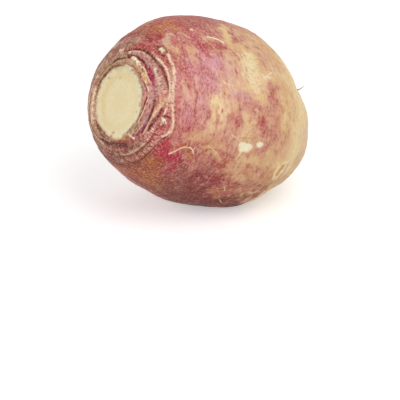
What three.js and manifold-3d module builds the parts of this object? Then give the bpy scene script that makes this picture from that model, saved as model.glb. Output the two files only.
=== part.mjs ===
import * as THREE from 'three';
import { mergeVertices } from 'three/addons/utils/BufferGeometryUtils.js';
import Module from 'manifold-3d';

// A rutabaga lying on its side, in millimetres, +Z up, resting on z = 0.
// Its leaf crown is cut off flat and points up and towards -X; the trimmed taproot points down towards +X.
//
// Station: distance along the growth axis from the body's middle, positive towards the crown.
// Turn: angle round the growth axis, 0 at the top, 90 degrees at the front (-Y), 180 at the bottom.

// Body
const axisLift = THREE.MathUtils.degToRad(20.8);
const girthRadius = 56;
const girthStation = -15;
const rootRadius = 35.5;
const rootStation = -55.5;

// Leaf crown: the flat cut, the collar round it and the rings of leaf scars
const cutRadius = 21.5;
const cutStation = 60.2;
const collarStation = 62.4;
const scarEdgeRadius = 41.5;
const scarRowStep = 1;
const cutShiftFront = 4;
const cutShiftDown = 0.8;
const collarInnerGap = 1.6;
const leafScars = [
  { radius: 24.4, height: 0.6, width: 1.2 },
  { radius: 27.8, height: -1.1, width: 1.2 },
  { radius: 31.2, height: -1.2, width: 1.3 },
  { radius: 35.8, height: -0.9, width: 1.1 },
  { radius: 38.2, height: 0.5, width: 1.1 },
  { radius: 40.4, height: 0.6, width: 1 },
];

// Taproot stub
const stubBaseRadius = 9;
const stubBaseStation = -74.5;
const stubEndRadius = 5.5;
const stubEndStation = -80.5;
const stubEdge = 0.5;

// Uneven growth: the centre line bends, the section has three low lobes, and a few places swell or sink
const bendReach = 60;
const downLean = -2.3;
const downBend = 3.85;
const frontLean = -2.1;
const frontBend = 2.1;
const lobeCount = 3;
const lobeHeight = 2.8;
const lobeTurn = 82;
const lobeReach = 160;
const swells = [
  { station: 40, turn: 188, height: -1.6, reach: 16 },
  { station: 3, turn: 165, height: 1.3, reach: 16 },
  { station: -33, turn: 182, height: -2.8, reach: 17 },
  { station: 36, turn: -17, height: 1.1, reach: 16 },
  { station: -60, turn: 75, height: 3.3, reach: 21 },
];

// The small flat spot that it rests on
const flatDepth = 2;
const flatCutterSize = 300;

// Mesh rows
const turnSteps = 64;
const cutRows = 3;
const shoulderRows = 22;
const waistRows = 9;
const coneRows = 10;
const stubRows = 3;

const growthAxis = new THREE.Vector3(-Math.cos(axisLift), 0, Math.sin(axisLift));
const topWay = new THREE.Vector3(Math.sin(axisLift), 0, Math.cos(axisLift));
const frontWay = new THREE.Vector3(0, -1, 0);

// Outline curves as (radius, station), from the crown down to the taproot.
const shoulder = new THREE.CubicBezierCurve(
  new THREE.Vector2(22.5, 63),
  new THREE.Vector2(40, 54),
  new THREE.Vector2(girthRadius, 32),
  new THREE.Vector2(girthRadius, girthStation),
);
const waist = new THREE.CubicBezierCurve(
  new THREE.Vector2(girthRadius, girthStation),
  new THREE.Vector2(girthRadius, -33),
  new THREE.Vector2(51.5, -34.5),
  new THREE.Vector2(rootRadius, rootStation),
);
const rootCone = new THREE.CubicBezierCurve(
  new THREE.Vector2(rootRadius, rootStation),
  new THREE.Vector2(29, -62),
  new THREE.Vector2(20, -72.5),
  new THREE.Vector2(stubBaseRadius, stubBaseStation),
);
const stub = new THREE.QuadraticBezierCurve(
  new THREE.Vector2(stubBaseRadius, stubBaseStation),
  new THREE.Vector2(stubEndRadius + stubEdge, stubBaseStation - 1),
  new THREE.Vector2(stubEndRadius + stubEdge, stubEndStation + stubEdge),
);

// Station of the rounded shoulder at a radius, levelled off where the collar tops out.
function shoulderStation(radius) {
  const points = shoulder.getPoints(60);
  const next = points.findIndex((point) => point.x >= radius);
  if (next < 1) {
    return collarStation;
  }
  const low = points[next - 1];
  const high = points[next];
  const share = (radius - low.x) / (high.x - low.x);
  return Math.min(collarStation, THREE.MathUtils.lerp(low.y, high.y, share));
}

function outline() {
  const points = [];
  for (let row = 0; row <= cutRows; row += 1) {
    points.push(new THREE.Vector2((cutRadius * row) / cutRows, cutStation));
  }
  for (let radius = cutRadius + scarRowStep; radius <= scarEdgeRadius; radius += scarRowStep) {
    points.push(new THREE.Vector2(radius, shoulderStation(radius)));
  }
  const shoulderPoints = shoulder.getPoints(shoulderRows);
  points.push(...shoulderPoints.filter((point) => point.x > scarEdgeRadius + scarRowStep));
  points.push(...waist.getPoints(waistRows).slice(1));
  points.push(...rootCone.getPoints(coneRows).slice(1));
  points.push(...stub.getPoints(stubRows).slice(1));
  points.push(new THREE.Vector2(stubEndRadius, stubEndStation));
  points.push(new THREE.Vector2(0, stubEndStation));
  return points;
}

function scarRelief(ringRadius) {
  return leafScars.reduce(
    (sum, scar) => sum + scar.height * Math.exp(-(((ringRadius - scar.radius) / scar.width) ** 2)),
    0,
  );
}

function swellAt(station, radius, turn) {
  return swells.reduce((sum, swell) => {
    const along = station - swell.station;
    const turnGap = turn - THREE.MathUtils.degToRad(swell.turn);
    const around = radius * Math.atan2(Math.sin(turnGap), Math.cos(turnGap));
    return sum + swell.height * Math.exp(-(along ** 2 + around ** 2) / swell.reach ** 2);
  }, 0);
}

// Place of a skin point in the part's frame, with the bend, the lobes and the swells.
function skinPoint(station, radius, turn) {
  const lobes = lobeHeight * Math.cos(lobeCount * (turn - THREE.MathUtils.degToRad(lobeTurn)));
  const lobeFade = (radius / girthRadius) * Math.cos((Math.PI * station) / lobeReach) ** 2;
  const grown = radius + lobes * lobeFade + (radius / girthRadius) * swellAt(station, radius, turn);
  const bend = station / bendReach;
  const down = downLean * bend + downBend * bend ** 2;
  const front = frontLean * bend + frontBend * bend ** 2;
  return new THREE.Vector3()
    .addScaledVector(growthAxis, station)
    .addScaledVector(topWay, grown * Math.cos(turn) - down)
    .addScaledVector(frontWay, grown * Math.sin(turn) + front);
}

// The cut and the leaf scars are rings about a centre that sits off the growth axis
// and comes back to it at the outermost scar, while the shoulder under them stays centred.
function crownPoint(ringRadius, turn) {
  const offCentre = 1 - THREE.MathUtils.smoothstep(ringRadius, cutRadius, scarEdgeRadius);
  const towardsTop = ringRadius * Math.cos(turn) - cutShiftDown * offCentre;
  const towardsFront = ringRadius * Math.sin(turn) + cutShiftFront * offCentre;
  const radius = Math.hypot(towardsTop, towardsFront);
  const collar = THREE.MathUtils.smoothstep(ringRadius, cutRadius, cutRadius + collarInnerGap);
  const scarred = shoulderStation(radius) + scarRelief(ringRadius);
  const station = THREE.MathUtils.lerp(cutStation, scarred, collar);
  return skinPoint(station, radius, Math.atan2(towardsFront, towardsTop));
}

function toSolid(wasm, geometry) {
  geometry.deleteAttribute('normal');
  geometry.deleteAttribute('uv');
  const merged = mergeVertices(geometry, 1e-3);
  const corners = merged.index.array;
  const faces = [];
  for (let i = 0; i < corners.length; i += 3) {
    const [a, b, c] = corners.slice(i, i + 3);
    if (a !== b && b !== c && c !== a) {
      faces.push(a, b, c);
    }
  }
  return new wasm.Manifold(
    new wasm.Mesh({
      numProp: 3,
      vertProperties: new Float32Array(merged.attributes.position.array),
      triVerts: new Uint32Array(faces),
    }),
  );
}

function toGeometry(solid) {
  const mesh = solid.getMesh();
  const geometry = new THREE.BufferGeometry();
  geometry.setAttribute('position', new THREE.BufferAttribute(mesh.vertProperties, 3));
  geometry.setIndex(new THREE.BufferAttribute(mesh.triVerts, 1));
  return geometry;
}

// A plain lathed outline, whose points then move to the crown's rings and the uneven skin.
function grownBody() {
  const geometry = new THREE.LatheGeometry(outline(), turnSteps);
  const position = geometry.attributes.position;
  for (let i = 0; i < position.count; i += 1) {
    const radius = Math.hypot(position.getX(i), position.getZ(i));
    const station = position.getY(i);
    const turn = Math.atan2(position.getX(i), position.getZ(i));
    const inCrown = station > 0 && radius <= scarEdgeRadius;
    const point = inCrown ? crownPoint(radius, turn) : skinPoint(station, radius, turn);
    position.setXYZ(i, point.x, point.y, point.z);
  }
  return geometry;
}

function rutabagaGeometry(wasm) {
  const body = grownBody();
  body.computeBoundingBox();
  const flatLevel = body.boundingBox.min.z + flatDepth;
  const cutter = new THREE.BoxGeometry(flatCutterSize, flatCutterSize, flatCutterSize);
  cutter.translate(0, 0, flatLevel - flatCutterSize / 2);
  const geometry = toGeometry(toSolid(wasm, body).subtract(toSolid(wasm, cutter)));
  geometry.computeBoundingBox();
  const middle = geometry.boundingBox.getCenter(new THREE.Vector3());
  geometry.translate(-middle.x, -middle.y, -geometry.boundingBox.min.z);
  geometry.computeVertexNormals();
  return geometry;
}

const wasm = await Module();
wasm.setup();

const rutabaga = new THREE.Mesh(
  rutabagaGeometry(wasm),
  new THREE.MeshStandardMaterial({ color: '#b9776b', roughness: 0.6, metalness: 0 }),
);
rutabaga.name = 'rutabaga';

const model = new THREE.Group();
model.add(rutabaga);

export default model;
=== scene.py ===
import math
import random

import bmesh
import bpy
import numpy as np
from mathutils import Euler, Matrix, Vector, noise
from mathutils.geometry import interpolate_bezier


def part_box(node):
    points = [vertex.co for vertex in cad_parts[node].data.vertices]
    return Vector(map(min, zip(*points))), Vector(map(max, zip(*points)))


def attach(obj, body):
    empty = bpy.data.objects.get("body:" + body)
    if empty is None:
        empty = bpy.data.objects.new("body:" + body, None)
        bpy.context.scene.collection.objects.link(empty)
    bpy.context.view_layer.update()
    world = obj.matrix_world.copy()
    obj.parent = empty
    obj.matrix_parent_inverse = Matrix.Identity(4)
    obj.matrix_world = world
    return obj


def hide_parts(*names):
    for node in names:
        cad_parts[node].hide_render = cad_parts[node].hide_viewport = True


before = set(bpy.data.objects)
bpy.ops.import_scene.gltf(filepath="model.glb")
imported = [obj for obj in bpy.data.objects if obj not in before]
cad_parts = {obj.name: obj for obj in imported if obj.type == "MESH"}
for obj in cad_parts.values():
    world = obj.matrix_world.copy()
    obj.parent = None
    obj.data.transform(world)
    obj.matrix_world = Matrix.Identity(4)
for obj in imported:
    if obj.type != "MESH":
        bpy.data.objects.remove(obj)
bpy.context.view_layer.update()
print("frame loaded")

millimetre = 0.001

body = {
    "lift": 20.8,  # how far the leaf end points up
    "girth": 56,
    "cutRadius": 21.5,
    "cutStation": 60.2,
    "collarStation": 62.4,
    "collarGap": 1.6,
    "cutShift": {"front": 4, "down": 0.8},  # the cut is off the axis, the outer rings are not
    "scarEdge": 41.5,  # outermost ring of the leaf end
    "shoulder": [(22.5, 63), (40, 54), (56, 32), (56, -15)],  # Bezier handles, (radius, station)
    "waist": [(56, -15), (56, -33), (51.5, -34.5), (35.5, -55.5)],
    "rootCone": [(35.5, -55.5), (29, -62), (20, -72.5), (9, -74.5)],
    "stub": [(9, -74.5), (6.6, -75.2), (6, -77), (6, -80)],
    "stubEnd": (5.5, -80.5),
    "bendReach": 60,
    "bendDown": (-2.3, 3.85),  # lean and bow of the centre line
    "bendFront": (-2.1, 2.1),
    "lobes": {"count": 3, "height": 2.8, "turn": 82, "reach": 160},
    "swells": [  # (station, turn, height, reach)
        (40, 188, -1.6, 16),
        (3, 165, 1.3, 16),
        (-33, 182, -2.8, 17),
        (36, -17, 1.1, 16),
        (-60, 75, 3.3, 21),
    ],
    "turnSteps": 360,
    "cutRows": 18,
    "stubRows": 8,
    "scarRow": 0.33,
    "skinRow": 1,
    "rootRow": 1,
    "rowGap": 0.2,
    "mergeGap": 1e-4,
    "curveStep": 0.3,  # of the shoulder curve that gives the stations
    "curveParts": 200,  # parts in which the length of a curve is measured
    "lumps": [(14, 0.7), (4.5, 0.24), (1.8, 0.1)],  # (size, height) of the uneven skin
}

lift = math.radians(body["lift"])
growthWay = np.array((-math.cos(lift), 0, math.sin(lift)))
topWay = np.array((math.sin(lift), 0, math.cos(lift)))
frontWay = np.array((0, -1, 0))


def smooth(low, high, value):
    share = np.clip((value - low) / (high - low), 0, 1)
    return share * share * (3 - 2 * share)


def wrapped(angle):
    return (angle + 180) % 360 - 180


# points of one Bezier span, about a step apart, without its first one
def bezierRow(handles, step):
    corners = [Vector((radius, 0, station)) for radius, station in handles]
    fine = interpolate_bezier(*corners, body["curveParts"])
    length = sum((b - a).length for a, b in zip(fine, fine[1:]))
    return interpolate_bezier(*corners, max(3, round(length / step) + 1))[1:]


shoulderCurve = bezierRow(body["shoulder"], body["curveStep"])


def shoulderStation(radius):
    stations = np.interp(radius, [p.x for p in shoulderCurve], [p.z for p in shoulderCurve])
    return np.minimum(stations, body["collarStation"])


# from the middle of the cut over the shoulder to the end of the stub
def outline():
    cutStep = body["cutRadius"] / body["cutRows"]
    points = [Vector((cutStep * row, 0, body["cutStation"])) for row in range(body["cutRows"] + 1)]
    scarWidth = body["scarEdge"] - body["cutRadius"]
    scarRows = round(scarWidth / body["scarRow"])
    for row in range(1, scarRows + 1):
        ring = body["cutRadius"] + scarWidth * row / scarRows
        points.append(Vector((ring, 0, float(shoulderStation(ring)))))
    shoulder = bezierRow(body["shoulder"], body["skinRow"])
    points += [point for point in shoulder if point.x > body["scarEdge"] + body["rowGap"]]
    points += bezierRow(body["waist"], body["skinRow"])
    points += bezierRow(body["rootCone"], body["rootRow"])
    points += bezierRow(body["stub"], body["rootRow"])
    endRadius, endStation = body["stubEnd"]
    stubStep = endRadius / body["stubRows"]
    points += [Vector((stubStep * row, 0, endStation)) for row in range(body["stubRows"], -1, -1)]
    return points


# x towards the top, y towards the front, z along the growth axis
def spunOutline():
    bm = bmesh.new()
    verts = [bm.verts.new(point) for point in outline()]
    edges = [bm.edges.new(pair) for pair in zip(verts, verts[1:])]
    bmesh.ops.spin(
        bm, geom=verts + edges, cent=(0, 0, 0), axis=(0, 0, 1),
        angle=math.tau, steps=body["turnSteps"], use_merge=True,
    )
    bmesh.ops.remove_doubles(bm, verts=bm.verts, dist=body["mergeGap"])
    return bm


def swellAt(station, radius, turn):
    total = np.zeros_like(station)
    for swellStation, swellTurn, height, reach in body["swells"]:
        around = radius * np.radians(wrapped(turn - swellTurn))
        total += height * np.exp(-((station - swellStation) ** 2 + around**2) / reach**2)
    return total


# place of the skin with the bend, the three low lobes and the swells
def skinPlace(station, radius, turn):
    lobes = body["lobes"]
    wave = lobes["height"] * np.cos(np.radians(lobes["count"] * (turn - lobes["turn"])))
    wave *= np.cos(np.pi * station / lobes["reach"]) ** 2
    grown = radius * (1 + (wave + swellAt(station, radius, turn)) / body["girth"])
    bend = station / body["bendReach"]
    down = body["bendDown"][0] * bend + body["bendDown"][1] * bend**2
    front = body["bendFront"][0] * bend + body["bendFront"][1] * bend**2
    towardsTop = grown * np.cos(np.radians(turn)) - down
    towardsFront = grown * np.sin(np.radians(turn)) + front
    return (
        station[:, None] * growthWay + towardsTop[:, None] * topWay + towardsFront[:, None] * frontWay
    )


# the cut and the inner rings sit off the axis and come back to it at the outermost ring
def crownPlace(ring, turn):
    offCentre = 1 - smooth(body["cutRadius"], body["scarEdge"], ring)
    towardsTop = ring * np.cos(np.radians(turn)) - body["cutShift"]["down"] * offCentre
    towardsFront = ring * np.sin(np.radians(turn)) + body["cutShift"]["front"] * offCentre
    radius = np.hypot(towardsTop, towardsFront)
    collar = smooth(body["cutRadius"], body["cutRadius"] + body["collarGap"], ring)
    station = body["cutStation"] * (1 - collar) + shoulderStation(radius) * collar
    return skinPlace(station, radius, np.degrees(np.arctan2(towardsFront, towardsTop)))


paints = {
    "rose": "cb7b77",
    "pink": "c56d6b",
    "salmon": "d49884",
    "lilac": "dfa2a8",
    "mauve": "b07a84",
    "crimson": "bc2f4a",
    "red": "b64a48",
    "brick": "ae5645",
    "maroon": "982a35",
    "plum": "83303a",
    "smoke": "ac6a5e",
    "amber": "c6803f",
    "apricot": "d68f60",
    "rust": "b2603a",
    # brown and umber are dark enough to carry painted shade on the underside as well as the skin's own
    # brown
    "brown": "8b3d2f",
    "umber": "6f2f25",
    "tan": "dfae84",
    "olive": "cfa26c",
    "yellow": "ecca90",
    "cream": "fde2a8",
    "peach": "efc9a0",
    "pale": "f4dfaa",
    "ivory": "fdf3cf",
    "ash": "dcc0a0",
    "flesh": "f2e3b8",
    "fleshCore": "ead498",
    "dried": "c4a37e",
    "driedPink": "d0a68e",
    "bark": "a8846a",
    "moss": "95804f",
    "terrace": "c99b8f",
    "cork": "f6dbbb",
    # dark red of the cracks, partly their own colour and partly painted shade inside them
    "creaseShade": "641c1a",
    "deepRed": "7c1826",
    "wine": "a83058",
    "scorch": "5a3414",
    # pale flecks of the waxy bloom, also used as painted highlights (small glints) on the skin
    "fleckAndGlint": "f0ccb0",
    "shade": "6a262a",
}

# Leaf scars of the cut end, laid down in the order of the lists below. Each row of a list is
# (paint, half width, strength, height, turn, ring, turn, ring, ...)
scars = {
    "wobble": [(3.2, 0.3), (1.1, 0.12)],  # (size, shift) of the bends in the scars
    "looseSize": 0.9,
    "fray": {"bands": 0.8, "creases": 0.25, "ridges": 0.3, "details": 0.25},
    "fibreEdge": (44, 36),  # rings over which the fibres that point outwards set in
    "fibreLeft": 0.15,  # share of them on creases and ridges
    "fibreHeight": 0.1,
    "fibreBase": 0.6,
    "fibreWaves": (4, 1.5),  # sizes of the waves in their strength and in their height
    "ringStep": 40,  # ring over which the pattern of the fibres moves on by one
    "reach": 4,  # how far past the outermost ring the scars are painted
}

# broad bands between the rings
scars["bands"] = [
    ("bark", 7.5, 0.9, 0, 182, 32, 225, 30, 270, 30, 296, 31),
    ("smoke", 6, 0.85, 0, 296, 36, 318, 37, 340, 37),
    ("brown", 5, 0.85, 0, 132, 38, 150, 37, 165, 37, 200, 40, 250, 40),
    ("rust", 3.4, 0.75, 0, 128, 43, 150, 43, 180, 44), ("brick", 3.6, 0.9, 0, -34, 40, -18, 39, -4, 40),
    ("rust", 2.4, 0.7, 0, -28, 43, -14, 42.4, -4, 42.5),
    ("bark", 2.6, 0.9, 0, -75, 26, -45, 26, -25, 26.6, -12, 27.4),
    ("bark", 2.2, 0.6, 0, -70, 30.5, -35, 31, -20, 32.2, -6, 34),
    ("brown", 1.5, 0.5, 0, -70, 30.5, -40, 31, -26, 32.4),
    ("crimson", 1.3, 0.7, 0, -3, 32.6, 5, 33.3, 12, 34),
    ("red", 2, 0.7, 0, 2, 34, 14, 35.4, 28, 37.4, 44, 38.6),
    ("crimson", 1.2, 0.6, 0, 2, 38.6, 8, 40.2, 10, 41.5),
    ("dried", 1.7, 1, 0, -75, 23, -40, 22.9, -20, 23.5, 0, 24.6, 14, 25.2),
    ("driedPink", 1.9, 0.95, 0, 4, 22, 30, 22.2, 60, 22, 78, 21.6),
    ("dried", 1.2, 0.7, 0, 8, 21.2, 30, 21.4, 56, 21),
    ("dried", 1.5, 0.95, 0, 76, 21.6, 100, 21.8, 128, 22.6),
    ("rust", 1.4, 0.5, 0, 132, 24.4, 140, 25, 148, 25.6),
    ("smoke", 2.4, 0.8, 0, 122, 28, 134, 28, 146, 29.4),
    ("brick", 2.4, 0.85, 0, 150, 29, 166, 29.8, 182, 29.4),
    ("brown", 1.8, 0.8, 0, 140, 31.6, 156, 33.4, 182, 33.6),
    ("red", 1.6, 0.6, 0, 110, 36.6, 132, 36.4, 150, 35.6),
    ("olive", 1, 0.85, 0, 132, 22.4, 150, 22.2, 182, 21.9),
    ("dried", 1.2, 0.9, 0, 180, 22.6, 230, 23, 290, 22.9),
    ("terrace", 1.7, 1, 0.3, 1, 29.4, 15, 30.3, 30, 31.7, 45, 32.7, 60, 33.4),
    ("terrace", 1.5, 0.9, 0.15, 56, 27.3, 66, 27.6, 80, 26.8, 96, 25.6),
    ("driedPink", 1.4, 0.8, 0.1, 60, 31, 66, 33, 64, 35),
    ("dried", 1.3, 0.9, 0, 97, 24.4, 110, 24.2, 122, 23.6),
    ("mauve", 1, 0.85, -0.1, 53, 29.6, 62, 30, 73, 29.8),
    ("mauve", 1.4, 0.9, 0, 90, 27.2, 101, 26.8, 112, 26.2, 122, 25.8),
    ("wine", 0.9, 0.8, -0.3, 103, 27, 110, 26.7, 119, 26.3),
    ("salmon", 1, 0.8, 0, 93, 29.2, 110, 29.5, 132, 29.2),
    ("tan", 1.6, 0.8, 0, 90, 30, 84, 31.2, 79, 33, 72, 34.6),
    ("crimson", 1, 0.9, 0, 98, 35.7, 108, 35.6, 119, 35.4),
    ("rust", 1, 0.7, 0, 125, 37, 135, 37.2, 144, 37.4), ("amber", 1.2, 0.6, 0, 132, 39.6, 133, 42),
    ("red", 0.6, 1, 0, 84, 24.4, 92, 23.9, 98, 23.7),
    ("yellow", 1.2, 0.9, 0.2, 18, 25.4, 26, 25.4, 36, 26.1, 46, 26.4),
    ("plum", 1.5, 0.95, 0, 144, 27.4, 152, 26.4, 160, 28.2),
    ("brick", 2.8, 0.8, 0, 122, 34, 150, 33.4, 176, 32),
    ("brown", 2, 0.5, 0, 118, 29.6, 126, 31.4, 131, 33.6),
    # the umber band on this line is painted shade on the lower side of the leaf end, over the scars' own
    # colours
    ("umber", 2, 0.35, 0, 140, 29, 152, 32, 170, 33), ("red", 2.2, 0.3, 0, 22, 37.6, 35, 35.6, 49, 36),
    ("yellow", 1.2, 0.4, 0, 68, 32.2, 78, 32.2), ("crimson", 2, 0.35, 0, 96, 30.6, 94, 34.6, 92, 39.4),
    # these three brown bands are painted shade on the lower side of the leaf end, over the scars' own
    # colours
    ("brown", 2.4, 0.8, 0, 126, 30.6, 140, 31.8, 152, 31, 162, 30),
    ("brown", 2.2, 0.6, 0, 150, 28.4, 166, 27.4, 176, 28),
    ("brown", 2, 0.5, 0, 158, 33.4, 168, 33, 178, 33),
]

# dark cracks, cut in as grooves; their dark red is partly the scars' own colour and partly painted shade
# inside the grooves
scars["creases"] = [
    ("scorch", 0.28, 1, -0.3, -80, 22.3, -60, 21.9, -38, 21.9, -26, 21.7),
    ("scorch", 0.22, 0.85, -0.25, 3, 22.9, 14, 23.6, 22, 23.8),
    ("scorch", 0.15, 0.6, -0.2, 22, 23.9, 34, 24.1, 46, 24.2),
    ("creaseShade", 0.3, 0.95, -0.4, 45, 24.2, 52, 24.7, 59, 25.4),
    ("deepRed", 0.45, 1, -0.5, 67, 24.9, 71, 24.1, 76, 23.5),
    ("scorch", 0.35, 0.9, -0.35, 77, 23.7, 84, 23.1, 90, 22.4, 100, 21.9, 107, 20.9),
    ("scorch", 0.3, 0.75, -0.5, -82, 23.7, -52, 24, -40, 23.8, -32, 24.2),
    ("creaseShade", 0.5, 0.95, -0.9, -35, 24, -25, 24.8, -18, 25.4, -10, 26.2, -1, 26.8),
    ("creaseShade", 0.42, 0.95, -0.6, -8, 27, 0, 27.7, 5, 28.3, 11, 28.6, 21, 28.8),
    ("deepRed", 0.55, 1, -0.6, 10, 28.6, 24, 28.9, 33, 28.8),
    ("wine", 1.35, 1, -0.9, 33, 28.9, 40, 29.2, 45, 29.1), ("wine", 0.8, 1, -0.6, 44, 28.9, 54, 29.3),
    ("creaseShade", 0.3, 0.7, -0.3, 27, 28.1, 36, 27.9, 46, 28.1),
    ("deepRed", 0.7, 0.9, -0.2, 8, 32.3, 16, 33.1, 30, 34, 40, 35),
    ("creaseShade", 0.42, 1, -0.8, -12, 29.4, -5, 30.4, 2, 31.6, 13, 32.9, 20, 33.5, 28, 34.1, 40, 35.1, 50,
     35.8, 57, 36.3, 64, 36.4),
    ("deepRed", 0.5, 0.7, 0, 46, 35.3, 56, 35.7),
    ("creaseShade", 0.45, 1, -0.65, 72, 29.3, 80, 28.9, 90, 28.4, 100, 28.3, 106, 28, 113, 27.7),
    ("deepRed", 0.8, 1, -0.9, 82, 33.9, 88, 32.8, 93, 31.6, 100, 30.8, 106, 30.6),
    ("creaseShade", 0.35, 0.85, 0, 92, 31, 100, 30.3, 106, 30.4),
    ("creaseShade", 0.3, 0.9, -0.5, 89, 35.2, 97, 35.1, 105, 34.8, 112, 34.4, 125, 34.6, 135, 34.4, 145, 33.5,
     152, 32.7, 160, 32.2, 180, 31.6, 215, 31.4),
    ("umber", 0.34, 0.85, -0.5, 103, 40, 108, 39.3, 115, 38.5, 125, 38.3, 135, 38.5, 146, 38.1, 170, 37.6,
     205, 37),
    ("creaseShade", 0.4, 0.45, -0.3, -24, 40, -12, 38.6, 0, 37.9, 6, 38.4),
    ("creaseShade", 1.1, 1, -0.9, 142, 26.4, 152, 25.4, 160, 24.9, 172, 25.2, 190, 25),
    ("creaseShade", 0.5, 0.7, -0.4, 160, 23.9, 176, 24, 190, 23.8),
    ("scorch", 0.14, 0.6, -0.1, 120, 20.3, 150, 20.1, 184, 20.1),
    ("scorch", 0.25, 0.85, -0.25, 144, 23, 165, 22.7, 180, 22.2, 215, 22.2, 250, 22.1, 284, 22.3),
    ("creaseShade", 0.4, 0.4, -0.3, 188, 25, 215, 25.3, 250, 24.8, 284, 23.7),
    ("scorch", 0.3, 0.85, -0.3, 182, 21.4, 192, 21.2, 204, 21.4, 216, 22),
    ("creaseShade", 0.4, 0.8, -0.45, 168, 29.8, 215, 28.6, 250, 27.4, 300, 27, 348, 28.9),
    ("creaseShade", 0.4, 0.8, -0.4, 214, 31.5, 250, 31, 290, 30.8, 330, 32.6, 347, 33.4),
    ("creaseShade", 0.35, 0.7, -0.35, 200, 37, 240, 35.8, 290, 35.2, 330, 37.5, 345, 39),
]

# pale corky rims
scars["ridges"] = [
    ("cork", 0.38, 0.9, 0.45, 28, 27.5, 40, 27.1, 49, 27.4),
    ("cork", 0.42, 0.95, 0.4, 46, 25.2, 52, 25.4, 59, 26.1),
    ("cork", 0.3, 0.85, 0.4, 65, 25.8, 74, 25, 82, 24.2, 92, 23.3, 103, 23),
    ("cork", 0.36, 0.9, 0.45, -6, 28.9, 2, 30, 10, 31.2, 15, 31.9),
    ("cork", 0.42, 1, 0.45, 28, 34.8, 42, 36.8, 50, 37, 62, 37.2, 72, 36.8, 80, 36.2, 86, 35.6, 92, 35.7,
     96, 35.7),
    ("cork", 0.5, 0.85, 0.6, 98, 28.9, 90, 29.8, 85, 31, 79, 33, 73, 35.5),
    ("cork", 0.3, 0.7, 0.3, 99, 28.9, 105, 28.7, 113, 29),
    ("cork", 0.5, 1, 0.65, 30, 39.5, 38, 39.3, 43, 39.8, 50, 39.7, 56, 39.2, 63, 38.6, 70, 38.3, 77, 38.6,
     84, 39.4, 90, 40.3, 95, 40.6, 100, 40.4, 103, 39.6, 105, 38.4),
    ("cork", 0.28, 0.7, 0.25, 103, 25.9, 112, 25.5, 120, 25),
    ("cork", 0.25, 0.7, 0.2, 171, 22.9, 178, 22.7),
    ("cork", 0.4, 0.6, 0.4, 120, 33, 140, 32.6, 154, 31.4),
    ("cork", 0.9, 0.9, 0.2, 222, 23.9, 250, 23.8, 272, 23.6),
    ("cork", 0.6, 0.5, 0.1, 228, 22.7, 250, 22.8, 280, 23.4),
    ("cork", 1.2, 0.35, 0.1, -72, 27, -60, 27.6, -46, 27),
    ("cork", 0.4, 0.7, 0.3, 186, 27, 210, 26.6, 250, 26, 290, 25.4),
    ("cork", 0.4, 0.6, 0.3, 205, 33.2, 250, 32.4, 290, 32.4, 328, 34.4),
    ("cork", 0.35, 0.6, 0.3, -30, 28, -21, 28, -14, 28.4),
]

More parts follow.
